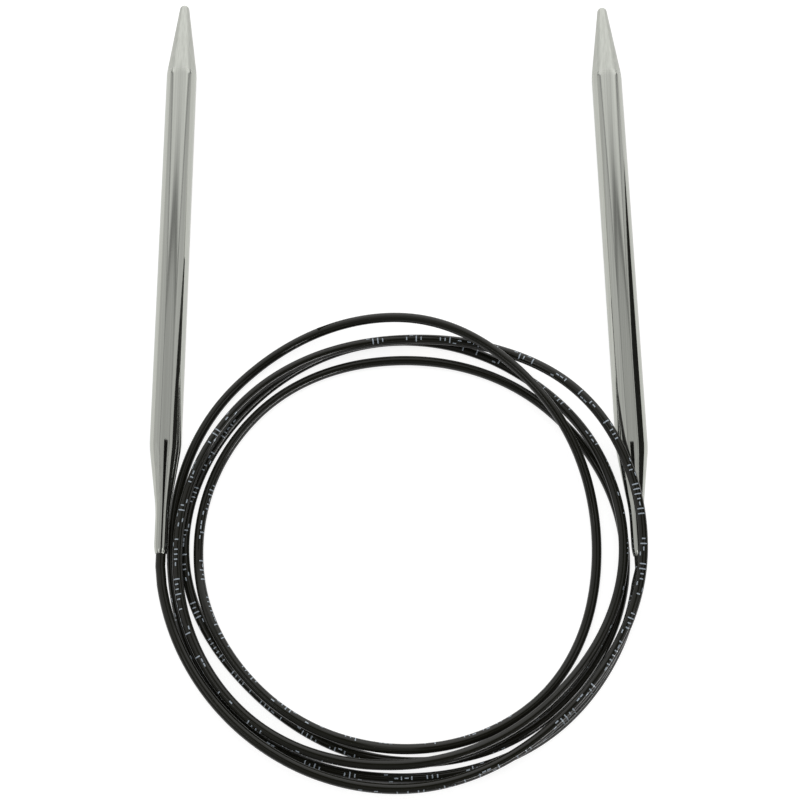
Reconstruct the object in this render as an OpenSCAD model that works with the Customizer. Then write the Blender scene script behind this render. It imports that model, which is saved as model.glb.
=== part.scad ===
// Circular knitting needle: two hollow metal needles joined by one long nylon cord.
// It lies on a table as it was put down, with the cord in a loose coil between the necks.
// +X is to the right, +Y runs to the points, and the table is at Z = 0.

/* [Needle] */
// Diameter of the shank, which sets the size of the stitches
needle_d = 6.5; // [6:0.1:7.8]
// Length of a needle, from its point to the mouth of its neck
needle_len = 123; // [100:1:150]
// Length of the tapered point
point_len = 17; // [13:0.5:24]
// Radius of the rounded nose
nose_r = 1.05; // [0.6:0.05:1.6]
// Wall of the drawn tube
tube_wall = 0.55; // [0.4:0.05:0.8]
// Solid metal that the swaging leaves ahead of the hollow
solid_tip = 8; // [5:0.5:10]

/* [Neck] */
// Length of the cone that narrows the shank down to the neck
shoulder_len = 13; // [10:0.5:18]
// Length of the straight neck that grips the cord
neck_len = 9; // [6:0.5:12]
// Wall of the neck round the cord
neck_wall = 0.4; // [0.4:0.05:0.6]
// Length over which the neck's mouth is crimped in on the cord
crimp_len = 2.4; // [2:0.1:4]
// How far the crimp draws the mouth in
crimp_depth = 0.27; // [0.1:0.01:0.28]
// Rounding of the mouth's rim
mouth_round = 0.1; // [0.05:0.01:0.1]

/* [Cord] */
// Diameter of the cord
cord_d = 2; // [1.6:0.1:2]
// Bore of the hollow cord
cord_bore = 0.9; // [0.6:0.1:1.1]
// Length of cord held inside a needle
held_len = 14; // [12:0.5:18]
// Gap between loops that lie on one another
lay_gap = 0.45; // [0.42:0.01:0.6]

/* [Anchor pin] */
// How far from the neck's mouth the pin starts
pin_start = 3; // [2:0.5:4]
// Number of barbs on the pin's shaft
pin_barbs = 3; // [1:1:4]
// Height of a barb
barb_height = 0.08; // [0.04:0.02:0.12]
// Thickness of the pin's domed head
pin_head = 0.8; // [0.5:0.1:1.5]

/* [Layout] */
// Distance of the left needle from the middle
left_x = 47.5; // [47.5:0.1:49]
// Distance of the right needle's mouth from the middle
right_x = 48.1; // [47.8:0.1:49]
// Angle by which the right needle leans inwards, in degrees
right_lean = 1.4; // [0:0.1:1.6]
// How much further forward the right needle lies than the left
right_setback = 0.5; // [0:0.1:1]

/* [Hidden] */

$fn = 96;
metal = [0.74, 0.75, 0.72];
brass = [0.72, 0.58, 0.32];
nylon = [0.09, 0.09, 0.085];

// Running clearance round the cord in its neck, and round the pin in the cord
seat_gap = 0.02;
needle_r = needle_d / 2;
cord_r = cord_d / 2;
bore_r = cord_r + seat_gap;
neck_r = bore_r + neck_wall;
hollow_r = needle_r - tube_wall;
shoulder_end = neck_len + shoulder_len;
point_start = needle_len - point_len;

// Radii that blend the neck, the shoulder and the point into the shank
neck_blend = 30;
shank_blend = 20;
point_blend = 15;
// The crimp turns the neck's wall inwards in one long curve
crimp_turn = atan2(crimp_depth, crimp_len / 2);
crimp_blend = 0.45 * crimp_len / tan(crimp_turn / 2);
// Straight pieces that stand for each rounded corner of a profile
blend_steps = 6;
nose_steps = 10;

// Where the needles lie: the box round both is centred on the origin
left_mouth_y = -(needle_len - right_setback) / 2;
left_mouth = [-left_x, left_mouth_y, needle_r];
right_mouth = [right_x, left_mouth_y - right_setback, needle_r];
left_out = [0, -1, 0];
right_out = [sin(right_lean), -cos(right_lean), 0];

// The middle of the coil, and how far the cord lies from it at each eighth of a loop.
// Angles are anticlockwise from +X seen from above, and go on counting loop after loop.
coil_mid = [1, left_mouth_y + 0.5];
loops = [
    [48.8, 47.1, 46.0, 44.8, 47.4, 48.1, 44.5, 45.1],
    [45.2, 44.6, 41.5, 41.2, 44.0, 44.6, 45.0, 44.3],
    [44.1, 40.1, 40.9, 43.1, 44.6, 42.4, 40.7, 41.8],
    [41.3, 39.3, 38.5, 39.4, 38.9, 42.1, 48.7, 49.2],
    [46.7, 46.2, 44.0, 45.8, 47.0]
];
station_step = 45;
start_angle = 180;
reach = [for (row = loops) each row];
last_station = len(reach) - 1;
end_angle = start_angle + last_station * station_step;

// Where the cord leaves the table: the angles where it starts to rise, is up, starts to
// fall and is down, and the height. A layer is one cord lying on another.
layer = cord_d + lay_gap;
// The top loop crosses the right needle on its shoulder, a little below the shank's height
shoulder_drop = 0.4;
over_needle = needle_d - shoulder_drop - layer;
to_neck = needle_r - cord_r;
lifts = [
    [0, 1, 750, 780, layer],
    [290, 385, 392, 428, over_needle],
    [1258, 1285, 1330, 1360, layer],
    [1440, 1490, 1512, 1575, 2 * layer + lay_gap],
    [1762, 1797, 1900, 1901, to_neck]
];

// The cord is split where its free ends meet the coil, and where the left end bends
bend_end = 218;
lead_end = 256;
coil_end = 1750;
// Rings of points along the swept cord
ring_step = 10;
ring_sides = 8;
// The cord comes straight out of a neck, and joins its loop after this many degrees
straight_run = 1.25 * cord_d;
clear_angle = 8;

function total(v, i = 0) = i < len(v) ? v[i] + total(v, i + 1) : 0;
function unit(v) = v / norm(v);

// Eases from 0 to 1 between two angles
function ease(from, to, a) =
    let (t = min(max((a - from) / (to - from), 0), 1))
    t * t * (3 - 2 * t);

// Smooth curve through four values, between the middle two
function spline(p, t) =
    p[1] + t / 2 * (p[2] - p[0]
        + t * (2 * p[0] - 5 * p[1] + 4 * p[2] - p[3]
        + t * (3 * p[1] - p[0] - 3 * p[2] + p[3])));

// A station of the coil, carried straight on past both ends
function station(i) =
    i < 0 ? 2 * reach[0] - reach[1]
    : i > last_station ? 2 * reach[last_station] - reach[last_station - 1]
    : reach[i];

function cord_reach(a) =
    let (s = (a - start_angle) / station_step, i = min(max(floor(s), 0), last_station - 1))
    spline([for (k = [i - 1 : i + 2]) station(k)], s - i);

function cord_height(a) =
    cord_r + total([for (l = lifts) l[4] * (ease(l[0], l[1], a) - ease(l[2], l[3], a))]);

function coil_point(a) =
    [coil_mid.x + cord_reach(a) * cos(a), coil_mid.y + cord_reach(a) * sin(a), cord_height(a)];

function coil_way(a) = unit(coil_point(a + 1) - coil_point(a - 1));

// Both ends of a stretch run straight, so that its end faces are square to the cord
function leaves(a) = [coil_point(a), coil_point(a) + cord_d * coil_way(a)];
function arrives(a) = [coil_point(a) - cord_d * coil_way(a), coil_point(a)];
function between(from, to) = [for (a = [from : ring_step : to]) coil_point(a)];

left_bend_route = concat(
    [left_mouth, left_mouth + straight_run * left_out],
    between(start_angle + clear_angle, bend_end - ring_step / 2),
    arrives(bend_end)
);
left_lead_route = concat(
    leaves(bend_end),
    between(bend_end + ring_step, lead_end - ring_step / 2),
    arrives(lead_end)
);
coil_route = concat(
    leaves(lead_end),
    between(lead_end + ring_step, coil_end - ring_step / 2),
    arrives(coil_end)
);
right_lead_route = concat(
    leaves(coil_end),
    between(coil_end + ring_step, end_angle - clear_angle),
    [right_mouth + straight_run * right_out, right_mouth]
);

function route_len(p) = total([for (i = [1 : len(p) - 1]) norm(p[i] - p[i - 1])]);

// The least gap between one loop of the cord and another, on points along the cord
fine_step = 0.75;
fine_loop = 360 / fine_step;
fine_near = 20;
fine_cord = [for (a = [start_angle + clear_angle : fine_step : end_angle - clear_angle]) coil_point(a)];
fine_last = len(fine_cord) - 1;
function least_gap() = min([
    for (i = [0 : fine_last], loop = [1 : len(loops) - 1])
        let (far = i + loop * fine_loop)
        for (j = [far - fine_near : far + fine_near])
            if (j <= fine_last) norm(fine_cord[i] - fine_cord[j])
]) - cord_d;

// A profile's corner, rounded by an arc. A corner is [radius, height, blend].
function rounded(before, at, after) =
    let (
        p = [at[0], at[1]],
        u = unit([before[0], before[1]] - p),
        v = unit([after[0], after[1]] - p),
        half = acos(u * v) / 2,
        middle = p + unit(u + v) * at[2] / sin(half),
        tangent = p + u * at[2] / tan(half),
        turn = 180 - 2 * half,
        way = sign(cross(v, u)),
        arm = tangent - middle
    )
    [for (i = [0 : blend_steps])
        let (a = way * turn * i / blend_steps)
        middle + [arm.x * cos(a) - arm.y * sin(a), arm.x * sin(a) + arm.y * cos(a)]];

function profile(corners) = [
    for (i = [0 : len(corners) - 1])
        each (len(corners[i]) < 3 ? [corners[i]] : rounded(corners[i - 1], corners[i], corners[i + 1]))
];

// The point's cone touches the nose's ball
nose_z = needle_len - nose_r;
cone_run = nose_z - point_start;
cone_angle = atan2(needle_r, cone_run) - asin(nose_r / norm([needle_r, cone_run]));
nose_touch = [nose_r * cos(cone_angle), nose_z + nose_r * sin(cone_angle)];

// Radius of the neck's bore where it opens inside the shoulder
function seat_r(z) = z < neck_len ? bore_r : bore_r + (z - neck_len) * (hollow_r - bore_r) / shoulder_len;

// Outside of a needle from its mouth to its nose, then the hollow back to the mouth
outside = concat(
    profile([
        [bore_r, 0],
        [neck_r - crimp_depth, 0, mouth_round],
        [neck_r, crimp_len / 2, crimp_blend],
        [neck_r, neck_len, neck_blend],
        [needle_r, shoulder_end, shank_blend],
        [needle_r, point_start, point_blend],
        nose_touch
    ]),
    [for (i = [1 : nose_steps])
        let (a = cone_angle + (90 - cone_angle) * i / nose_steps)
        [i < nose_steps ? nose_r * cos(a) : 0, nose_z + nose_r * sin(a)]]
);
hollow = [
    [0, needle_len - solid_tip],
    [hollow_r - (needle_len - solid_tip - point_start) * tan(cone_angle), needle_len - solid_tip],
    [hollow_r, point_start],
    [hollow_r, shoulder_end],
    [bore_r, neck_len]
];

module needle() {
    color(metal) rotate_extrude() polygon(concat(outside, hollow));
}

// Anchor pin: a barbed shaft in the cord's bore, a cone that spreads the cord, and a domed head
shaft_r = cord_bore / 2;
cord_wall = cord_r - shaft_r;
barb_step = (neck_len - pin_start) / (pin_barbs + 1);
spread_r = seat_r(held_len) - seat_gap - cord_wall;
head_r = spread_r + cord_wall / 2;

module pin_form(grow) {
    shaft = [for (i = [1 : pin_barbs]) each [
        [shaft_r + grow, pin_start + i * barb_step],
        [shaft_r + barb_height + grow, pin_start + (i + 0.6) * barb_step],
        [shaft_r + grow, pin_start + (i + 0.6) * barb_step]
    ]];
    rotate_extrude() polygon(concat(
        [[0, pin_start - grow], [shaft_r / 2 + grow, pin_start - grow]],
        shaft,
        [[shaft_r + grow, neck_len], [spread_r + grow, held_len]],
        grow > 0 ? [[spread_r + grow, held_len + 1], [0, held_len + 1]] : [[0, held_len]]
    ));
}

module pin_dome() {
    rotate_extrude() polygon([
        [0, held_len],
        [head_r, held_len],
        [head_r, held_len + pin_head / 2],
        [head_r - pin_head / 2, held_len + pin_head],
        [0, held_len + pin_head]
    ]);
}

module anchor_pin() {
    color(brass) {
        pin_form(0);
        pin_dome();
    }
}

// The end of the cord: a hollow tube in the neck, wedged in the shoulder by the pin
module cord_end() {
    color(nylon) difference() {
        rotate_extrude() polygon([
            [shaft_r, 0],
            [cord_r, 0],
            [cord_r, neck_len],
            [seat_r(held_len) - seat_gap, held_len],
            [shaft_r, held_len]
        ]);
        pin_form(seat_gap);
    }
}

module at_left() {
    translate(left_mouth) rotate([-90, 0, 0]) children();
}

module at_right() {
    translate(right_mouth) rotate([0, 0, right_lean]) rotate([-90, 0, 0]) children();
}

// A round cord swept along its route, with a ring of points at each place on the way
function ring(p, way) =
    let (side = unit(cross(way, [0, 0, 1])), up = cross(side, way))
    [for (k = [0 : ring_sides - 1])
        p + cord_r * (cos(k * 360 / ring_sides) * side + sin(k * 360 / ring_sides) * up)];

module cord(route) {
    last = len(route) - 1;
    points = [for (i = [0 : last]) each ring(route[i], unit(route[min(i + 1, last)] - route[max(i - 1, 0)]))];
    sides = [for (i = [0 : last - 1], k = [0 : ring_sides - 1])
        let (a = i * ring_sides + k, b = i * ring_sides + (k + 1) % ring_sides)
        each [[a, b, b + ring_sides], [a, b + ring_sides, a + ring_sides]]];
    caps = [for (k = [1 : ring_sides - 2]) each [
        [0, k + 1, k],
        [last * ring_sides, last * ring_sides + k, last * ring_sides + k + 1]
    ]];
    color(nylon) polyhedron(points, concat(sides, caps));
}

module left_needle() { at_left() needle(); }
module left_cord_end() { at_left() cord_end(); }
module left_anchor_pin() { at_left() anchor_pin(); }
module right_needle() { at_right() needle(); }
module right_cord_end() { at_right() cord_end(); }
module right_anchor_pin() { at_right() anchor_pin(); }
module left_bend() { cord(left_bend_route); }
module left_lead() { cord(left_lead_route); }
module cord_coil() { cord(coil_route); }
module right_lead() { cord(right_lead_route); }

free_cord = total([for (r = [left_bend_route, left_lead_route, coil_route, right_lead_route]) route_len(r)]);
union() {  // cord_coil
    echo(least_gap_of_the_coil_mm = least_gap());
    echo(free_cord_mm = free_cord, point_to_point_mm = free_cord + 2 * needle_len);
}

left_needle();
left_cord_end();
left_anchor_pin();
right_needle();
right_cord_end();
right_anchor_pin();
left_bend();
left_lead();
cord_coil();
right_lead();
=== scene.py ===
# %% [markdown]
# A circular knitting needle: two polished metal needles joined by one long black nylon cord.
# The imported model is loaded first. It is the fixed frame that every piece below is made to fit,
# in metres, with +X to the right, +Y towards the points and the table at Z = 0.

# %% Load the frame
import math

import bmesh
import bpy
import numpy as np
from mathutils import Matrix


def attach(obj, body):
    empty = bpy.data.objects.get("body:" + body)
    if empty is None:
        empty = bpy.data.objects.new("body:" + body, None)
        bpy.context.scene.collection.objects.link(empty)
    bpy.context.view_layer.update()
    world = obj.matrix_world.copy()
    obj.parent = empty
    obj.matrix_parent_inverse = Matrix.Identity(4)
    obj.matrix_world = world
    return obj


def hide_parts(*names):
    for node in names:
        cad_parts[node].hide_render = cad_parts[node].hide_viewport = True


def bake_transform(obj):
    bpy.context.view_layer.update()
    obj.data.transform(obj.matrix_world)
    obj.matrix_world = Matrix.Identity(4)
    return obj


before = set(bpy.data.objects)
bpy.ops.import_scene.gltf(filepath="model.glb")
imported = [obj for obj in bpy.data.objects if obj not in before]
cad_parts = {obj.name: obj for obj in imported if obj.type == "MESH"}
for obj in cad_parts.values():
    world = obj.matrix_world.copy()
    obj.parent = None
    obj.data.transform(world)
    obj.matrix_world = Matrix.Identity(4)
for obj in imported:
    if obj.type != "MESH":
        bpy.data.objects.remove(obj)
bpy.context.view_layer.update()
MM = 0.001

# %% [markdown]
# The camera looks down on the table from the front, tilted a little from straight above.
# Its height, tilt and lens were solved from the straight edges of the two needles, whose size
# is known, so the model is seen with the same perspective as in the picture.

# %% Camera
CAMERA_AT = (0.3, -115.42, 303.77)
CAMERA_TILT = 16
CAMERA_LENS = 68.4
CLIP_START = 0.01


def in_scene(name, data):
    """A new object of data, linked to the scene."""
    made = bpy.data.objects.new(name, data)
    bpy.context.scene.collection.objects.link(made)
    return made


lens = bpy.data.cameras.new("camera")
lens.lens = CAMERA_LENS
lens.clip_start = CLIP_START
camera = in_scene("camera", lens)
camera.location = [x * MM for x in CAMERA_AT]
camera.rotation_euler = (math.radians(CAMERA_TILT), 0, 0)
bpy.context.scene.camera = camera
print("camera", CAMERA_AT, "mm, lens", CAMERA_LENS)

# %% [markdown]
# The sizes are in millimetres, as on a maker's drawing, and become metres only where Blender is
# handed a point. Both needles lie on the table. The right one leans in by a little more than a
# degree. A needle is placed by its mouth, where the cord comes out, and by the way it points.

# %% Sizes and places of the needles and the cord
NEEDLE_D = 6.5
NEEDLE_LEN = 123
CORD_D = 2
LEFT_X = -47.5
RIGHT_X = 48.1
RIGHT_LEAN = math.radians(1.4)
RIGHT_SETBACK = 0.5
COIL_X = 1
COIL_AHEAD = 0.5
NEEDLE_R = NEEDLE_D / 2
CORD_R = CORD_D / 2

left_mouth = np.array([LEFT_X, -(NEEDLE_LEN - RIGHT_SETBACK) / 2, NEEDLE_R])
right_mouth = np.array([RIGHT_X, left_mouth[1] - RIGHT_SETBACK, NEEDLE_R])
left_axis = np.array([0, 1, 0])
right_axis = np.array([-math.sin(RIGHT_LEAN), math.cos(RIGHT_LEAN), 0])
coil_middle = np.array([COIL_X, left_mouth[1] + COIL_AHEAD])
print("mouths at", left_mouth, "and", right_mouth, "mm")

# %% [markdown]
# The cord's route comes next, because everything else lies round it. The cord leaves the left
# neck, goes round four and a half times and ends in the right neck. One long curve could be drawn
# by hand, but a list is easier to read and to mend: each number is the cord's distance from the
# middle of the coil, eight to a loop, and a smooth curve runs through them. A second list says
# where the cord climbs over another loop or over the right needle.

# %% Route of the cord
LOOPS = [
    [48.8, 47.1, 46.0, 44.8, 47.4, 48.1, 44.5, 45.1],
    [45.2, 44.6, 41.5, 41.2, 44.0, 44.6, 45.0, 44.3],
    [44.1, 40.1, 40.9, 43.1, 44.6, 42.4, 40.7, 41.8],
    [41.3, 39.3, 38.5, 39.4, 38.9, 42.1, 48.7, 49.2],
    [46.7, 46.2, 44.0, 45.8, 47.0],
]
STATION_STEP = 45
START_ANGLE = 180
reach = [station for row in LOOPS for station in row]
END_ANGLE = START_ANGLE + (len(reach) - 1) * STATION_STEP
# One more station before the first and after the last, so that the curve has a slope there
reach = [2 * reach[0] - reach[1], *reach, 2 * reach[-1] - reach[-2]]

# Where the cord starts to rise, is up, starts to fall and is down, in degrees, and how high
LAY_GAP = 0.45
SHOULDER_DROP = 0.4
LAYER = CORD_D + LAY_GAP
LIFTS = [
    (0, 1, 750, 780, LAYER),
    (290, 385, 392, 428, NEEDLE_D - SHOULDER_DROP - LAYER),
    (1258, 1285, 1330, 1360, LAYER),
    (1440, 1490, 1512, 1575, 2 * LAYER + LAY_GAP),
    (1762, 1797, 1900, 1901, NEEDLE_R - CORD_R),
]


def ease(start, end, angle):
    """0 before start, 1 after end, and a smooth rise between them."""
    t = min(max((angle - start) / (end - start), 0), 1)
    return t * t * (3 - 2 * t)


def coil_point(angle):
    """The middle of the cord at an angle, on a Catmull-Rom curve through the stations."""
    place = (angle - START_ANGLE) / STATION_STEP
    i = min(max(int(place), 0), len(reach) - 4)
    t = place - i
    a, b, c, d = reach[i : i + 4]
    r = b + t / 2 * (c - a + t * (2 * a - 5 * b + 4 * c - d + t * (3 * b - a - 3 * c + d)))
    z = CORD_R + sum(h * (ease(p, q, angle) - ease(u, v, angle)) for p, q, u, v, h in LIFTS)
    turn = math.radians(angle)
    return np.array([coil_middle[0] + r * math.cos(turn), coil_middle[1] + r * math.sin(turn), z])


print("route from", START_ANGLE, "to", END_ANGLE, "degrees through", len(reach) - 2, "stations")

# %% [markdown]
# The route is cut into four stretches, because the cord bends near the needles and lies still
# elsewhere. The two outer stretches run straight into the mouths of the necks.

# %% Four stretches of the route
# Where the stretches end, in degrees along the route
BEND_END = 218
LEAD_END = 256
COIL_END = 1750
CLEAR_ANGLE = 8
STRAIGHT_RUN = 1.25 * CORD_D
ROUTE_STEP = 1.5


def stretch(start, end):
    """Angles along the cord from start to end, and the points there."""
    angles = np.linspace(start, end, round((end - start) / ROUTE_STEP) + 1)
    return list(angles), [coil_point(a) for a in angles]


def straight_out(mouth, axis):
    """Three points from a neck's mouth straight out of it."""
    return [mouth, mouth - axis * STRAIGHT_RUN / 2, mouth - axis * STRAIGHT_RUN]


def route_length(points):
    return float(np.linalg.norm(np.diff(np.array(points), axis=0), axis=1).sum())


left_angles, left_points = stretch(START_ANGLE + CLEAR_ANGLE, BEND_END)
right_angles, right_points = stretch(COIL_END, END_ANGLE - CLEAR_ANGLE)
routes = {
    "left_bend": (
        [START_ANGLE, START_ANGLE + 1, START_ANGLE + 2] + left_angles,
        straight_out(left_mouth, left_axis) + left_points,
    ),
    "left_lead": stretch(BEND_END, LEAD_END),
    "cord_coil": stretch(LEAD_END, COIL_END),
    "right_lead": (
        right_angles + [END_ANGLE - 2, END_ANGLE - 1, END_ANGLE],
        right_points + straight_out(right_mouth, right_axis)[::-1],
    ),
}
for name, (angles, points) in routes.items():
    print(name, len(points), "points,", round(route_length(points), 1), "mm")

# %% [markdown]
# Three small helpers serve every material. One turns a colour as it is picked on screen (sRGB
# hex) into the linear numbers that the renderer works in. One adds a node, sets it up and links
# it, so that each material below reads as a list of what it is made of. One starts a material.

# %% Helpers for materials and node trees
def linear(hex_colour):
    """Linear RGBA of a colour written as it looks on screen, such as "#808080"."""
    parts = [int(hex_colour[i : i + 2], 16) / 255 for i in (1, 3, 5)]
    return [*(c / 12.92 if c <= 0.04045 else ((c + 0.055) / 1.055) ** 2.4 for c in parts), 1]


def add(tree, kind, links=None, **settings):
    """Adds a node. links gives its inputs, each a value or another node's output."""
    made = tree.nodes.new(kind)
    for key, value in settings.items():
        setattr(made, key, value)
    for socket, source in (links or {}).items():
        if isinstance(source, bpy.types.NodeSocket):
            tree.links.new(source, made.inputs[socket])
        else:
            made.inputs[socket].default_value = source
    return made


def new_material(name):
    """A material with only its output node."""
    material = bpy.data.materials.new(name)
    material.use_nodes = True
    material.node_tree.nodes.clear()
    return material, material.node_tree, add(material.node_tree, "ShaderNodeOutputMaterial")


print("mid grey #808080 is", round(linear("#808080")[0], 3), "in linear light")

# %% [markdown]
# A row of plain grey marks is printed along one side of the cord. An image could carry them, but
# nodes draw them sharp at any distance. The tube that is made below gives each place two numbers:
# how far along the cord it is, and how far round from the middle of the printed side. The row is
# cut into cells of a millimetre, and a random number for each cell picks its mark: a tick across
# the cord, tall or short, or a dash along one of three lines.

# %% One mark in each cell of the row
MARK_PITCH = 1
MARK_WIDTH = 0.24
MARK_HALF = 0.7
TICK_HEIGHTS = 2
DASH_LINES = 3
DASH_LEN = 0.75
DASH_SHARE = 0.4
CELL_MIDDLE = 0.5


def row_of_marks(tree, along, side):
    """Two sockets: 1 where a mark lies, and the number of the cell that a place is in."""
    cell = add(tree, "ShaderNodeMath", {0: along, 1: MARK_PITCH}, operation="DIVIDE").outputs[0]
    index = add(tree, "ShaderNodeMath", {0: cell}, operation="FLOOR").outputs[0]
    inside = add(tree, "ShaderNodeMath", {0: cell}, operation="FRACT").outputs[0]
    dice = add(tree, "ShaderNodeTexWhiteNoise", {"W": index}, noise_dimensions="1D")
    dice = add(tree, "ShaderNodeSeparateColor", {"Color": dice.outputs["Color"]}).outputs
    tick_height = add(tree, "ShaderNodeMapRange", {
        "Value": dice["Red"], "To Min": MARK_HALF / 2, "To Max": MARK_HALF,
        "Steps": TICK_HEIGHTS - 1}, interpolation_type="STEPPED").outputs["Result"]
    dash_line = add(tree, "ShaderNodeMapRange", {
        "Value": dice["Green"], "To Min": -MARK_HALF, "To Max": MARK_HALF,
        "Steps": DASH_LINES - 1}, interpolation_type="STEPPED").outputs["Result"]
    # A tick is short along the cord and tall across it, and a dash is the other way round
    shapes = []
    for length, line, height in [
        (MARK_WIDTH, 0, tick_height),
        (DASH_LEN, dash_line, MARK_WIDTH / 2),
    ]:
        within = add(tree, "ShaderNodeMath", {
            0: inside, 1: CELL_MIDDLE, 2: length / MARK_PITCH / 2}, operation="COMPARE").outputs[0]
        across = add(tree, "ShaderNodeMath", {
            0: side, 1: line, 2: height}, operation="COMPARE").outputs[0]
        shapes.append(add(tree, "ShaderNodeMath", {0: within, 1: across}, operation="MULTIPLY"))
    tick, dash = [shape.outputs[0] for shape in shapes]
    is_dash = add(tree, "ShaderNodeMath", {
        0: dice["Blue"], 1: DASH_SHARE}, operation="LESS_THAN").outputs[0]
    marks = add(tree, "ShaderNodeMix", {
        "Factor": is_dash, "A": tick, "B": dash}, data_type="FLOAT").outputs["Result"]
    return marks, index


print("a mark every", MARK_PITCH, "mm, up to", 2 * MARK_HALF, "mm tall")

# %% [markdown]
# The marks stand in groups, some shorter than others, with a gap after each, and once in each
# loop's length the row has a longer blank. A slower pattern over the same cells says which of
# them carry a mark.

# %% Groups and blanks in the row
GROUP_CELLS = 8
SHORT_GROUP = 4
LONG_GROUP = 7
HALF_CELL = 0.5
BLANK_EVERY = 277
BLANK_AT = 231
BLANK_LEN = 28


def cells_in_use(tree, along, index):
    """1 in the cells that carry a mark."""
    group = add(tree, "ShaderNodeMath", {0: index, 1: GROUP_CELLS}, operation="DIVIDE").outputs[0]
    group = add(tree, "ShaderNodeMath", {0: group}, operation="FLOOR").outputs[0]
    dice = add(tree, "ShaderNodeTexWhiteNoise", {"W": group}, noise_dimensions="1D")
    length = add(tree, "ShaderNodeMapRange", {
        "Value": dice.outputs["Value"], "To Min": SHORT_GROUP - HALF_CELL,
        "To Max": LONG_GROUP - HALF_CELL, "Steps": LONG_GROUP - SHORT_GROUP},
        interpolation_type="STEPPED").outputs["Result"]
    place = add(tree, "ShaderNodeMath", {0: index, 1: GROUP_CELLS}, operation="MODULO").outputs[0]
    used = add(tree, "ShaderNodeMath", {0: place, 1: length}, operation="LESS_THAN").outputs[0]
    repeat = add(tree, "ShaderNodeMath", {0: along, 1: BLANK_EVERY}, operation="MODULO").outputs[0]
    blank = add(tree, "ShaderNodeMath", {
        0: repeat, 1: BLANK_AT + BLANK_LEN / 2, 2: BLANK_LEN / 2}, operation="COMPARE").outputs[0]
    return add(tree, "ShaderNodeMath", {
        0: used, 1: blank}, operation="SUBTRACT", use_clamp=True).outputs[0]


print("groups of", SHORT_GROUP, "to", LONG_GROUP, "marks, a blank every", BLANK_EVERY, "mm")

# %% [markdown]
# Black nylon monofilament. It is drawn through a round die, which leaves a soft gloss and very
# faint lines along the cord. To the eye it is a deep black with a clean highlight. The real lines
# are too fine to show, so they are drawn a quarter of a millimetre apart.

# %% Nylon cord
NYLON_BLACK = "#191913"
INK_GREY = "#a3adb6"
NYLON_ROUGH = (0.1, 0.17)
NYLON_IOR = 1.53
NYLON_SPECULAR = 0.36
DIE_LINE = 0.25
DIE_RUN = 20
DIE_DETAIL = 2
DIE_STRENGTH = 0.08
DIE_DEPTH = 0.02


def nylon_cord():
    material, tree, output = new_material("black nylon monofilament")
    along = add(tree, "ShaderNodeAttribute", attribute_name="along_mm").outputs["Fac"]
    rim = add(tree, "ShaderNodeAttribute", attribute_name="rim").outputs["Vector"]
    rim = add(tree, "ShaderNodeSeparateXYZ", {"Vector": rim}).outputs
    turn = add(tree, "ShaderNodeMath", {0: rim["Y"], 1: rim["X"]}, operation="ARCTAN2").outputs[0]
    side = add(tree, "ShaderNodeMath", {0: turn, 1: CORD_R}, operation="MULTIPLY").outputs[0]
    marks, index = row_of_marks(tree, along, side)
    used = cells_in_use(tree, along, index)
    ink = add(tree, "ShaderNodeMath", {0: marks, 1: used}, operation="MULTIPLY").outputs[0]
    colour = add(tree, "ShaderNodeMix", {
        "Factor": ink, "A": linear(NYLON_BLACK), "B": linear(INK_GREY)}, data_type="RGBA")
    # Lines that the die leaves, long along the cord and fine round it
    grain = add(tree, "ShaderNodeCombineXYZ", {"X": along, "Y": side}).outputs[0]
    grain = add(tree, "ShaderNodeMapping", {
        "Vector": grain, "Scale": (1 / DIE_RUN, 1 / DIE_LINE, 1)}).outputs[0]
    lines = add(tree, "ShaderNodeTexNoise", {
        "Vector": grain, "Scale": 1, "Detail": DIE_DETAIL}).outputs["Fac"]
    rough = add(tree, "ShaderNodeMapRange", {
        "Value": lines, "To Min": NYLON_ROUGH[0], "To Max": NYLON_ROUGH[1]}).outputs["Result"]
    bump = add(tree, "ShaderNodeBump", {
        "Height": lines, "Strength": DIE_STRENGTH, "Distance": DIE_DEPTH * MM}).outputs["Normal"]
    shader = add(tree, "ShaderNodeBsdfPrincipled", {
        "Base Color": colour.outputs["Result"], "Roughness": rough, "Normal": bump,
        "IOR": NYLON_IOR, "Specular IOR Level": NYLON_SPECULAR})
    tree.links.new(shader.outputs["BSDF"], output.inputs["Surface"])
    return material


nylon = nylon_cord()
print("material:", nylon.name, "with", len(nylon.node_tree.nodes), "nodes")

# %% [markdown]
# Each stretch of cord is a round tube along its route. A curve with a bevel would give the shape.
# Geometry Nodes sweep a circle along a curve in the same way, and on the way they store the two
# attributes that the marks are drawn from, so the ink follows the cord through every bend.

# %% Geometry Nodes tree for a tube of cord
TUBE_INPUTS = {
    "Geometry": "NodeSocketGeometry",
    "Radius": "NodeSocketFloat",
    "Sides": "NodeSocketInt",
    "Start": "NodeSocketFloat",
    "Material": "NodeSocketMaterial",
}


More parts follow.
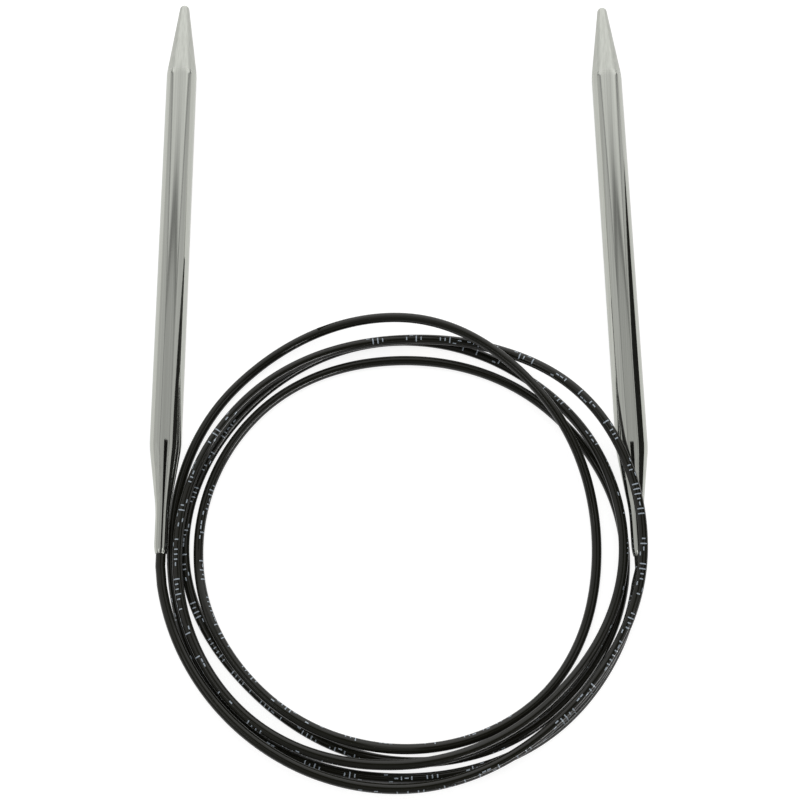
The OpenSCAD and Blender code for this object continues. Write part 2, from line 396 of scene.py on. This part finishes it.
def cord_tube_tree():
    tree = bpy.data.node_groups.new("cord tube", "GeometryNodeTree")
    sockets = {}
    for name, kind in TUBE_INPUTS.items():
        made = tree.interface.new_socket(name, in_out="INPUT", socket_type=kind)
        sockets[name] = made.identifier
    tree.interface.new_socket("Geometry", in_out="OUTPUT", socket_type="NodeSocketGeometry")
    given = add(tree, "NodeGroupInput").outputs
    length = add(tree, "GeometryNodeSplineParameter").outputs["Length"]
    length = add(tree, "ShaderNodeMath", {0: length, 1: 1 / MM}, operation="MULTIPLY").outputs[0]
    along = add(tree, "ShaderNodeMath", {0: length, 1: given["Start"]}, operation="ADD").outputs[0]
    path = add(tree, "GeometryNodeStoreNamedAttribute", {
        "Geometry": given["Geometry"], "Name": "along_mm", "Value": along},
        data_type="FLOAT", domain="POINT")
    circle = add(tree, "GeometryNodeCurvePrimitiveCircle", {
        "Resolution": given["Sides"], "Radius": given["Radius"]})
    place = add(tree, "GeometryNodeInputPosition").outputs[0]
    place = add(tree, "ShaderNodeVectorMath", {0: place}, operation="NORMALIZE").outputs[0]
    profile = add(tree, "GeometryNodeStoreNamedAttribute", {
        "Geometry": circle.outputs["Curve"], "Name": "rim", "Value": place},
        data_type="FLOAT_VECTOR", domain="POINT")
    tube = add(tree, "GeometryNodeCurveToMesh", {
        "Curve": path.outputs[0], "Profile Curve": profile.outputs[0], "Fill Caps": True})
    whole = add(tree, "GeometryNodeRealizeInstances", {"Geometry": tube.outputs[0]})
    finish = add(tree, "GeometryNodeSetMaterial", {
        "Geometry": whole.outputs[0], "Material": given["Material"]})
    add(tree, "NodeGroupOutput", {"Geometry": finish.outputs[0]})
    return tree, sockets


tube_tree, tube_sockets = cord_tube_tree()
print("tube tree inputs:", sorted(tube_sockets))

# %% [markdown]
# A cord that was wound by hand rolls round its own middle, so its printed side turns in and out
# of sight. Each pair below is an angle along the route and where the printed side faces there, in
# degrees round the cord: 0 is away from the coil's middle, 90 is up and 180 is inwards.

# %% Twist of the cord
PRINT_FACES = [
    (180, -60), (245, -20), (270, 15), (330, 70), (360, 90), (440, 95), (540, 80), (585, 40),
    (630, -40), (690, -10), (735, 25), (790, 85), (880, 95), (930, 70), (990, 25), (1080, -60),
    (1150, -70), (1240, -215), (1350, -205), (1440, -110), (1560, -90), (1640, 20), (1710, 90),
    (1800, 130),
]
print("printed side given at", len(PRINT_FACES), "places")

# %% [markdown]
# A tube starts as a curve through the points of its route, with the twist as the curve's tilt.
# The tree sweeps it, and the result is kept as a plain mesh, which carries its attributes along
# and needs no modifier any more.

# %% Tube along a route
TUBE_SIDES = 20
SHARP_ANGLE = math.radians(40)


def finished(name, mesh):
    """An object of mesh that is shaded smooth, with its real edges kept sharp."""
    mesh.shade_smooth()
    mesh.set_sharp_from_angle(angle=SHARP_ANGLE)
    return in_scene(name, mesh)


def baked(obj, name):
    """A plain mesh object of what obj's modifiers make, in place of obj."""
    graph = bpy.context.evaluated_depsgraph_get()
    mesh = bpy.data.meshes.new_from_object(obj.evaluated_get(graph))
    bpy.data.objects.remove(obj)
    return finished(name, mesh)


def tube_of_cord(name, angles, points, start):
    """A mesh tube along points, in millimetres. start is how far along the cord it begins."""
    curve = bpy.data.curves.new(name + "_path", "CURVE")
    curve.dimensions = "3D"
    curve.twist_mode = "Z_UP"
    spline = curve.splines.new("POLY")
    spline.points.add(len(points) - 1)
    faces = np.interp(angles, *zip(*PRINT_FACES))
    for knot, point, face in zip(spline.points, points, faces):
        knot.co = (*(point * MM), 1)
        knot.tilt = -math.radians(face)
    path = in_scene(name + "_path", curve)
    sweep = path.modifiers.new("tube", "NODES")
    sweep.node_group = tube_tree
    inputs = {"Radius": CORD_R * MM, "Sides": TUBE_SIDES, "Start": start, "Material": nylon}
    for key, value in inputs.items():
        sweep[tube_sockets[key]] = value
    return baked(path, name)


print("tubes of", TUBE_SIDES, "sides")

# %% [markdown]
# The coil lies still, so it rides on its own body. The three other stretches are not attached to any
# body and stay where they are made.

# %% The four stretches of cord
so_far = 0
for name, (angles, points) in routes.items():
    piece = tube_of_cord(name + "_nylon", angles, points, so_far)
    length = route_length(points)
    so_far += length
    if name == "cord_coil":
        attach(piece, "coil")
    else:
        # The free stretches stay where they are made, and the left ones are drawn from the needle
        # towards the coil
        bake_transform(piece)
    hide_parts(name)
    print(piece.name, len(piece.data.polygons), "faces,", round(length, 1), "mm of cord")
print("free cord in all:", round(so_far, 1), "mm")

# %% [markdown]
# Nickel-plated brass tube. The shank is polished bright, so it mirrors the room, with fine lines
# along it from drawing and polishing. The real lines are too fine to show, so they are drawn 0.3
# mm apart. The point is finished with a softer satin, which spreads the reflections into one even
# grey. The material reads how far a place is from the neck's mouth, and turns from bright to satin
# where the point begins, so one tube needs only one material.

# %% Nickel plate
NICKEL_DARK = "#abada6"
NICKEL_LIGHT = "#d0d2cb"
POINT_LEN = 17
POINT_START = NEEDLE_LEN - POINT_LEN
SATIN_FADE = 0.8
SATIN_ROUGH = 0.36
BRIGHT_ROUGH = (0.05, 0.11)
DRAW_LINE = 0.3
DRAW_RUN = 75
DRAW_DETAIL = 3
DRAW_STRENGTH = 0.03
DRAW_DEPTH = 0.005


def nickel_plate():
    material, tree, output = new_material("polished nickel plate")
    along = add(tree, "ShaderNodeAttribute", attribute_name="from_mouth_mm").outputs["Fac"]
    satin = add(tree, "ShaderNodeMapRange", {
        "Value": along, "From Min": POINT_START - SATIN_FADE,
        "From Max": POINT_START + SATIN_FADE}).outputs["Result"]
    place = add(tree, "ShaderNodeTexCoord").outputs["Object"]
    fine, long = 1 / (DRAW_LINE * MM), 1 / (DRAW_RUN * MM)
    streaks = add(tree, "ShaderNodeMapping", {
        "Vector": place, "Scale": (fine, long, fine)}).outputs[0]
    lines = add(tree, "ShaderNodeTexNoise", {
        "Vector": streaks, "Scale": 1, "Detail": DRAW_DETAIL}).outputs["Fac"]
    bright = add(tree, "ShaderNodeMapRange", {
        "Value": lines, "To Min": BRIGHT_ROUGH[0], "To Max": BRIGHT_ROUGH[1]}).outputs["Result"]
    rough = add(tree, "ShaderNodeMix", {
        "Factor": satin, "A": bright, "B": SATIN_ROUGH}, data_type="FLOAT").outputs["Result"]
    tint = add(tree, "ShaderNodeMix", {
        "Factor": lines, "A": linear(NICKEL_DARK), "B": linear(NICKEL_LIGHT)}, data_type="RGBA")
    bump = add(tree, "ShaderNodeBump", {
        "Height": lines, "Strength": DRAW_STRENGTH, "Distance": DRAW_DEPTH * MM}).outputs["Normal"]
    shader = add(tree, "ShaderNodeBsdfPrincipled", {
        "Base Color": tint.outputs["Result"], "Roughness": rough, "Normal": bump, "Metallic": 1})
    tree.links.new(shader.outputs["BSDF"], output.inputs["Surface"])
    return material


nickel = nickel_plate()
print("material:", nickel.name)

# %% [markdown]
# A needle is one tube that was swaged at both ends, and it is round all over. A Screw modifier
# could spin its outline, but a small lathe of one's own also stores how far each place is from
# the mouth. The outline is a few corners, each rounded by an arc.

# %% Lathe for the needles and what is inside them
LATHE_SIDES = 96
BLEND_STEPS = 12
UP = np.array([0, 0, 1])


def rounded(before, corner, after):
    """Arc in place of a corner (radius, height, blend) of an outline."""
    p = np.array(corner[:2])
    u = np.array(before[:2]) - p
    v = np.array(after[:2]) - p
    u = u / np.linalg.norm(u)
    v = v / np.linalg.norm(v)
    half = math.acos(u @ v) / 2
    middle = p + (u + v) / np.linalg.norm(u + v) * corner[2] / math.sin(half)
    arm = p + u * corner[2] / math.tan(half) - middle
    way = math.copysign(1, v[0] * u[1] - v[1] * u[0])
    arc = []
    for a in np.linspace(0, way * (math.pi - 2 * half), BLEND_STEPS + 1):
        turn = np.array([[math.cos(a), -math.sin(a)], [math.sin(a), math.cos(a)]])
        arc.append(middle + turn @ arm)
    return arc


def outline(corners):
    """Points of an outline, with an arc at each corner that has a third number."""
    points = []
    for i, corner in enumerate(corners):
        points += rounded(corners[i - 1], corner, corners[i + 1]) if len(corner) > 2 else [corner]
    return points


def lathe(name, points, mouth, axis, material):
    """Spins a closed outline of (radius, distance from the mouth), in millimetres, round axis."""
    side = np.cross(axis, UP)
    mesh = bmesh.new()
    layer = mesh.verts.layers.float.new("from_mouth_mm")
    rings = []
    for r, z in points:
        turns = np.linspace(0, 2 * math.pi, LATHE_SIDES, endpoint=False) if r > 0 else [0]
        ring = []
        for a in turns:
            place = mouth + axis * z + r * (math.cos(a) * side + math.sin(a) * UP)
            vert = mesh.verts.new(place * MM)
            vert[layer] = z
            ring.append(vert)
        rings.append(ring)
    for low, high in zip(rings, rings[1:] + rings[:1]):
        for k in range(LATHE_SIDES):
            corners = [low[k % len(low)], low[(k + 1) % len(low)]]
            corners += [high[(k + 1) % len(high)], high[k % len(high)]]
            # A ring on the axis is one point, so a face there loses a corner
            corners = list(dict.fromkeys(corners))
            if len(corners) > 2:
                mesh.faces.new(corners)
    bmesh.ops.recalc_face_normals(mesh, faces=mesh.faces)
    data = bpy.data.meshes.new(name)
    mesh.to_mesh(data)
    mesh.free()
    data.materials.append(material)
    return finished(name, data)


print("lathe with", LATHE_SIDES, "sides")

# %% [markdown]
# The two needles are the same piece, laid at two places, and each rides on its own body. The
# outline runs from the crimped mouth over the neck, shoulder, shank and cone to the nose, a ball
# that the cone touches, and then back along the hollow inside.

# %% Needles
NOSE_R = 1.05
NOSE_STEPS = 14
TUBE_WALL = 0.55
SOLID_TIP = 8
SHOULDER_LEN = 13
NECK_LEN = 9
NECK_WALL = 0.4
CRIMP_LEN = 2.4
CRIMP_DEPTH = 0.27
CRIMP_SHARE = 0.45
MOUTH_ROUND = 0.1
SEAT_GAP = 0.02
NECK_BLEND = 30
SHANK_BLEND = 20
POINT_BLEND = 15
BORE_R = CORD_R + SEAT_GAP
NECK_R = BORE_R + NECK_WALL
CRIMP_TURN = math.atan2(CRIMP_DEPTH, CRIMP_LEN / 2)
CRIMP_BLEND = CRIMP_SHARE * CRIMP_LEN / math.tan(CRIMP_TURN / 2)
HOLLOW_R = NEEDLE_R - TUBE_WALL
SHOULDER_END = NECK_LEN + SHOULDER_LEN


def needle_outline():
    nose_z = NEEDLE_LEN - NOSE_R
    run = nose_z - POINT_START
    cone = math.atan2(NEEDLE_R, run) - math.asin(NOSE_R / math.hypot(NEEDLE_R, run))
    turns = np.linspace(cone, math.pi / 2, NOSE_STEPS)
    nose = [(NOSE_R * math.cos(a), nose_z + NOSE_R * math.sin(a)) for a in turns]
    nose[-1] = (0, NEEDLE_LEN)
    outside = outline([
        (BORE_R, 0),
        (NECK_R - CRIMP_DEPTH, 0, MOUTH_ROUND),
        (NECK_R, CRIMP_LEN / 2, CRIMP_BLEND),
        (NECK_R, NECK_LEN, NECK_BLEND),
        (NEEDLE_R, SHOULDER_END, SHANK_BLEND),
        (NEEDLE_R, POINT_START, POINT_BLEND),
        nose[0],
    ])
    hollow_end = NEEDLE_LEN - SOLID_TIP
    hollow = [
        (0, hollow_end),
        (HOLLOW_R - (hollow_end - POINT_START) * math.tan(cone), hollow_end),
        (HOLLOW_R, POINT_START),
        (HOLLOW_R, SHOULDER_END),
        (BORE_R, NECK_LEN),
    ]
    return outside + nose[1:] + hollow


SIDES = {"left": (left_mouth, left_axis), "right": (right_mouth, right_axis)}
for side, (mouth, axis) in SIDES.items():
    needle = lathe(side + "_needle_tube", needle_outline(), mouth, axis, nickel)
    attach(needle, side + "_needle")
    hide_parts(side + "_needle")
    print(needle.name, len(needle.data.polygons), "faces")

# %% [markdown]
# Turned brass, for the small pins inside the necks. It is bare metal, warm yellow, with the fine
# rings that a lathe tool leaves. Noise along one axis gives those rings.

# %% Turned brass
BRASS_DARK = "#c29a4c"
BRASS_LIGHT = "#d8b263"
BRASS_ROUGH = (0.2, 0.4)
TOOL_RING = 0.08
RING_DETAIL = 1
RING_STRENGTH = 0.1
RING_DEPTH = 0.01


def turned_brass():
    material, tree, output = new_material("turned brass")
    along = add(tree, "ShaderNodeAttribute", attribute_name="from_mouth_mm").outputs["Fac"]
    rings = add(tree, "ShaderNodeMath", {
        0: along, 1: 1 / TOOL_RING}, operation="MULTIPLY").outputs[0]
    rings = add(tree, "ShaderNodeTexNoise", {
        "W": rings, "Scale": 1, "Detail": RING_DETAIL}, noise_dimensions="1D").outputs["Fac"]
    rough = add(tree, "ShaderNodeMapRange", {
        "Value": rings, "To Min": BRASS_ROUGH[0], "To Max": BRASS_ROUGH[1]}).outputs["Result"]
    tint = add(tree, "ShaderNodeMix", {
        "Factor": rings, "A": linear(BRASS_DARK), "B": linear(BRASS_LIGHT)}, data_type="RGBA")
    bump = add(tree, "ShaderNodeBump", {
        "Height": rings, "Strength": RING_STRENGTH, "Distance": RING_DEPTH * MM}).outputs["Normal"]
    shader = add(tree, "ShaderNodeBsdfPrincipled", {
        "Base Color": tint.outputs["Result"], "Roughness": rough, "Normal": bump, "Metallic": 1})
    tree.links.new(shader.outputs["BSDF"], output.inputs["Surface"])
    return material


brass = turned_brass()
print("material:", brass.name)

# %% [markdown]
# Inside each neck the cord's end is spread by a small barbed pin, so that it can't be drawn out.
# Neither piece shows from outside, but they are there when the neck is cut open. Both come off
# the same lathe, and the bore of the cord's end is the pin's own outline made a little larger.

# %% Held cord ends and anchor pins
CORD_BORE = 0.9
HELD_LEN = 14
PIN_START = 3
PIN_BARBS = 3
BARB_HEIGHT = 0.08
BARB_RISE = 0.6
PIN_HEAD = 0.8
SHAFT_R = CORD_BORE / 2
CORD_WALL = CORD_R - SHAFT_R
SEAT_R = BORE_R + (HELD_LEN - NECK_LEN) * (HOLLOW_R - BORE_R) / SHOULDER_LEN
SPREAD_R = SEAT_R - SEAT_GAP - CORD_WALL
HEAD_R = SPREAD_R + CORD_WALL / 2
BARB_STEP = (NECK_LEN - PIN_START) / (PIN_BARBS + 1)


def pin_shaft(grow):
    """Outline of the pin from its tip to the wide end of its cone, made larger by grow."""
    points = [(SHAFT_R / 2 + grow, PIN_START - grow)]
    for i in range(1, PIN_BARBS + 1):
        top = PIN_START + (i + BARB_RISE) * BARB_STEP
        points += [(SHAFT_R + grow, PIN_START + i * BARB_STEP)]
        points += [(SHAFT_R + BARB_HEIGHT + grow, top), (SHAFT_R + grow, top)]
    return points + [(SHAFT_R + grow, NECK_LEN), (SPREAD_R + grow, HELD_LEN)]


def pin_outline():
    head = [
        (HEAD_R, HELD_LEN),
        (HEAD_R, HELD_LEN + PIN_HEAD / 2),
        (HEAD_R - PIN_HEAD / 2, HELD_LEN + PIN_HEAD),
        (0, HELD_LEN + PIN_HEAD),
    ]
    return [(0, PIN_START)] + pin_shaft(0) + head


def cord_end_outline():
    outside = [(SHAFT_R, 0), (CORD_R, 0), (CORD_R, NECK_LEN), (SEAT_R - SEAT_GAP, HELD_LEN)]
    first_barb = PIN_START + BARB_STEP
    bore = [(r, z) for r, z in pin_shaft(SEAT_GAP)[::-1] if z > first_barb]
    return outside + bore + [(SHAFT_R + SEAT_GAP, first_barb), (SHAFT_R, first_barb)]


for side, (mouth, axis) in SIDES.items():
    pin = lathe(side + "_anchor_pin_brass", pin_outline(), mouth, axis, brass)
    cord_end = lathe(side + "_cord_end_nylon", cord_end_outline(), mouth, axis, nylon)
    for piece, node, slot in [
        (pin, "_anchor_pin", "brass_pin"),
        (cord_end, "_cord_end", "nylon_cord"),
    ]:
        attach(piece, side + "_needle")
        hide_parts(side + node)
        print(piece.name, len(piece.data.polygons), "faces")

# %% [markdown]
# The table is a flat sheet of white paper. It is lit like the object, so it takes a soft shadow, but
# most of its white is a glow that only the eye and reflections see, so that it reads as clean
# white. More light would do that too, but it would wash out the object.

# %% Table
FLOOR_SIZE = 12
FLOOR_DROP = 0.05
PAPER_WHITE = "#9e9e9d"
MATT_ROUGH = 0.9
PAPER_GLOW = 0.84
PAPER_IN_METAL = 0.64


def rays(tree):
    """Two sockets: 1 where the eye looks, also through glass, and 1 in a reflection."""
    seen = add(tree, "ShaderNodeLightPath").outputs
    eye = add(tree, "ShaderNodeMath", {
        0: seen["Is Camera Ray"], 1: seen["Is Transmission Ray"]}, operation="MAXIMUM").outputs[0]
    return eye, seen["Is Glossy Ray"]


def white_paper():
    material, tree, output = new_material("white paper")
    eye, mirrored = rays(tree)
    to_eye = add(tree, "ShaderNodeMath", {0: eye, 1: PAPER_GLOW}, operation="MULTIPLY").outputs[0]
    to_metal = add(tree, "ShaderNodeMath", {
        0: mirrored, 1: PAPER_IN_METAL}, operation="MULTIPLY").outputs[0]
    glow = add(tree, "ShaderNodeMath", {0: to_eye, 1: to_metal}, operation="MAXIMUM").outputs[0]
    shader = add(tree, "ShaderNodeBsdfPrincipled", {
        "Base Color": linear(PAPER_WHITE), "Roughness": MATT_ROUGH, "Specular IOR Level": 0,
        "Emission Color": linear("#ffffff"), "Emission Strength": glow})
    tree.links.new(shader.outputs["BSDF"], output.inputs["Surface"])
    return material


def flat_sheet(name, corners, material):
    """A flat sheet through four corners, in metres."""
    mesh = bpy.data.meshes.new(name)
    mesh.from_pydata(corners, [], [(0, 1, 2, 3)])
    mesh.materials.append(material)
    return in_scene(name, mesh)


half = FLOOR_SIZE / 2
floor_z = -FLOOR_DROP * MM
corners = [(x * half, y * half, floor_z) for x, y in [(-1, -1), (1, -1), (1, 1), (-1, 1)]]
table = flat_sheet("table", corners, white_paper())
print("table", FLOOR_SIZE, "m")

# %% [markdown]
# Polished metal shows its surroundings, so a photographer stands black cards just out of the
# picture, to draw crisp dark lines along it. One card stands on the right and draws the broad
# dark stripe on each needle. A second hangs above, round the camera, and draws the thin line on
# the shoulders and necks. A low strip on the table darkens the inner edge of the left needle
# above the coil. Only reflections see the three of them, so they cast no shadow.

# %% Black cards
CARD_BLACK = "#383836"
CARDS = {
    "right card": [(180, -90, 0), (180, 88.5, 0), (180, 42.5, 152), (180, -90, 152)],
    "top card": [(-65, -170, 312), (85, -170, 312), (85, 22, 312), (-65, 22, 312)],
    "low strip": [(-17, -13.8, 0), (-17, 12, 0), (-17, 12, 5), (-17, -13.8, 5)],
}


def black_card():
    material, tree, output = new_material("black card")
    shader = add(tree, "ShaderNodeBsdfPrincipled", {
        "Base Color": linear(CARD_BLACK), "Roughness": MATT_ROUGH, "Specular IOR Level": 0})
    tree.links.new(shader.outputs["BSDF"], output.inputs["Surface"])
    return material


card_black = black_card()
for name, corners in CARDS.items():
    card = flat_sheet(name, [[x * MM for x in corner] for corner in corners], card_black)
    card.visible_camera = False
    card.visible_diffuse = False
    card.visible_shadow = False
    print(name, "at", corners[0], "mm")

# %% [markdown]
# The light is a pale tent with one soft lamp above it. The lamp gives the soft shadow. It is kept
# out of reflections, where its square would show in the metal.

# %% Lamp
LAMP_SIZE = 1.6
LAMP_AT = (-0.25, 0.2, 1.5)
LAMP_POWER = 6.5

lamp_data = bpy.data.lights.new("soft lamp", "AREA")
lamp_data.size = LAMP_SIZE
lamp_data.energy = LAMP_POWER
lamp = in_scene("soft lamp", lamp_data)
lamp.location = LAMP_AT
lamp.visible_glossy = False
print("lamp", LAMP_POWER, "W at", LAMP_AT)

# %% [markdown]
# The tent is a plain box of cloth with faint seams at its corners. Its back wall is the brightest
# and falls off towards the top. Real walls could stand round the table, but as part of the world
# they are never in the camera's way. A direction meets the wall that it comes nearest to, so a
# few comparisons tell which one that is.

# %% Cloth of the tent
# How far off the side walls and the back wall stand, for a roof that is one unit up
TENT_SIDE = 0.7
TENT_BACK = 0.42
LEAST_RISE = 0.02
SIDE_TONE = 0.67
ROOF_TONE = 0.55
# How far out a direction goes for each step up, and the back wall's tone there
BACK_TONES = [(0.42, 0.46), (0.52, 0.86), (1.2, 1.25), (2.5, 1.5)]
SEAM_TONE = 0.5
SEAM_FROM = 0.9
SEAM_TO = 0.97


def tent_cloth(tree, way, off):
    """Two sockets: how bright the cloth is in a direction, and 1 where it is the roof's."""
    side = add(tree, "ShaderNodeMath", {0: off, 1: TENT_SIDE}, operation="DIVIDE").outputs[0]
    back = add(tree, "ShaderNodeMath", {0: way["Y"], 1: TENT_BACK}, operation="DIVIDE").outputs[0]
    roof = add(tree, "ShaderNodeMath", {0: way["Z"], 1: LEAST_RISE}, operation="MAXIMUM").outputs[0]
    outer = add(tree, "ShaderNodeMath", {0: side, 1: roof}, operation="MAXIMUM").outputs[0]
    on_roof = add(tree, "ShaderNodeMath", {0: roof, 1: side}, operation="GREATER_THAN").outputs[0]
    on_back = add(tree, "ShaderNodeMath", {0: back, 1: outer}, operation="GREATER_THAN").outputs[0]
    slope = add(tree, "ShaderNodeMath", {0: way["Y"], 1: roof}, operation="DIVIDE").outputs[0]
    tone = BACK_TONES[0][1]
    for (low, dim), (high, light) in zip(BACK_TONES, BACK_TONES[1:]):
        step = add(tree, "ShaderNodeMapRange", {
            "Value": slope, "From Min": low, "From Max": high,
            "To Min": 0, "To Max": light - dim}).outputs["Result"]
        tone = add(tree, "ShaderNodeMath", {0: step, 1: tone}, operation="ADD").outputs[0]
    wall = add(tree, "ShaderNodeMix", {
        "Factor": on_roof, "A": SIDE_TONE, "B": ROOF_TONE}, data_type="FLOAT").outputs["Result"]
    wall = add(tree, "ShaderNodeMix", {
        "Factor": on_back, "A": wall, "B": tone}, data_type="FLOAT").outputs["Result"]
    # Seams, where the two nearest walls are met almost together
    most = add(tree, "ShaderNodeMath", {0: back, 1: outer}, operation="MAXIMUM").outputs[0]
    lesser = add(tree, "ShaderNodeMath", {0: side, 1: roof}, operation="MINIMUM").outputs[0]
    second = add(tree, "ShaderNodeMath", {0: back, 1: outer}, operation="MINIMUM").outputs[0]
    second = add(tree, "ShaderNodeMath", {0: second, 1: lesser}, operation="MAXIMUM").outputs[0]
    ratio = add(tree, "ShaderNodeMath", {0: second, 1: most}, operation="DIVIDE").outputs[0]
    seam = add(tree, "ShaderNodeMapRange", {
        "Value": ratio, "From Min": SEAM_FROM, "From Max": SEAM_TO,
        "To Min": 1, "To Max": SEAM_TONE}).outputs["Result"]
    cloth = add(tree, "ShaderNodeMath", {0: wall, 1: seam}, operation="MULTIPLY").outputs[0]
    return cloth, on_roof


print("tent sides", SIDE_TONE, "roof", ROOF_TONE)

# %% [markdown]
# The front of the tent is open, so it is dimmer, and the cloth has patches of other tones. Two
# bright panels at the front light the crimped mouths of the necks. A low window at the front
# right draws a fine bright line along the glossy cord. The two back corners are dark low down,
# which draws a fine line along the metal when it is seen from the side. Only reflections see the
# window and the corners.

# %% Open front and patches
# Places are given on a direction that is one unit long, with Y to the back and Z up
FRONT_TONE = 0.4
FRONT_FROM = -0.12
FRONT_TO = -0.2
PANEL_TONE = 2.4
PANEL_AT = 0.62
PANEL_HALF = 0.14
PANEL_AHEAD = -0.1
WINDOW_TONE = 14
WINDOW_HEIGHT = 0.42
WINDOW_HALF = 0.06
WINDOW_FROM = 0.3
CORNER_TONE = 0.12
CORNER_HEIGHT = 0.17
CORNER_HALF = 0.06
CORNER_FROM = 0.5


def front_and_patches(tree, way, off, cloth, on_roof, mirrored):
    """The cloth's brightness with the open front and the patches in it."""
    front = add(tree, "ShaderNodeMapRange", {
        "Value": way["Y"], "From Min": FRONT_TO, "From Max": FRONT_FROM,
        "To Min": FRONT_TONE}).outputs["Result"]
    light = add(tree, "ShaderNodeMath", {0: cloth, 1: front}, operation="MULTIPLY").outputs[0]
    ahead, right, fore, behind, aside = [
        add(tree, "ShaderNodeMath", {0: value, 1: limit}, operation=test).outputs[0]
        for value, test, limit in [
            (way["Y"], "LESS_THAN", PANEL_AHEAD),
            (way["X"], "GREATER_THAN", WINDOW_FROM),
            (way["Y"], "LESS_THAN", -WINDOW_FROM),
            (way["Y"], "GREATER_THAN", CORNER_FROM),
            (off, "GREATER_THAN", CORNER_FROM),
        ]
    ]
    for tone, value, middle, half, limits in [
        (PANEL_TONE, off, PANEL_AT, PANEL_HALF, [ahead, on_roof]),
        (WINDOW_TONE, way["Z"], WINDOW_HEIGHT, WINDOW_HALF, [right, fore, mirrored]),
        (CORNER_TONE, way["Z"], CORNER_HEIGHT, CORNER_HALF, [behind, aside, mirrored]),
    ]:
        patch = add(tree, "ShaderNodeMath", {
            0: value, 1: middle, 2: half}, operation="COMPARE").outputs[0]
        for limit in limits:
            patch = add(tree, "ShaderNodeMath", {0: patch, 1: limit}, operation="MULTIPLY").outputs[0]
        light = add(tree, "ShaderNodeMix", {
            "Factor": patch, "A": light, "B": tone}, data_type="FLOAT").outputs["Result"]
    return light


print("panels", PANEL_TONE, "window", WINDOW_TONE, "corners", CORNER_TONE)

# %% [markdown]
# The tent becomes the world. It lights the object and shows in the metal, but the eye sees plain
# white behind the table, and so does a mirror along the table's far edge.

# %% World
EDGE_HEIGHT = 0.01
PLAIN_WHITE = 1


def light_tent():
    world = bpy.data.worlds.new("light tent")
    world.use_nodes = True
    tree = world.node_tree
    tree.nodes.clear()
    way = add(tree, "ShaderNodeTexCoord").outputs["Generated"]
    way = add(tree, "ShaderNodeSeparateXYZ", {"Vector": way}).outputs
    off = add(tree, "ShaderNodeMath", {0: way["X"]}, operation="ABSOLUTE").outputs[0]
    eye, mirrored = rays(tree)
    cloth, on_roof = tent_cloth(tree, way, off)
    light = front_and_patches(tree, way, off, cloth, on_roof, mirrored)
    edge = add(tree, "ShaderNodeMath", {
        0: way["Z"], 1: EDGE_HEIGHT}, operation="LESS_THAN").outputs[0]
    edge = add(tree, "ShaderNodeMath", {0: mirrored, 1: edge}, operation="MULTIPLY").outputs[0]
    white = add(tree, "ShaderNodeMath", {0: eye, 1: edge}, operation="MAXIMUM").outputs[0]
    light = add(tree, "ShaderNodeMix", {
        "Factor": white, "A": light, "B": PLAIN_WHITE}, data_type="FLOAT").outputs["Result"]
    tent = add(tree, "ShaderNodeBackground", {"Color": light})
    add(tree, "ShaderNodeOutputWorld", {"Surface": tent.outputs[0]})
    return world


bpy.context.scene.world = light_tent()
bpy.context.scene.view_settings.view_transform = "Standard"
print("world:", bpy.context.scene.world.name)
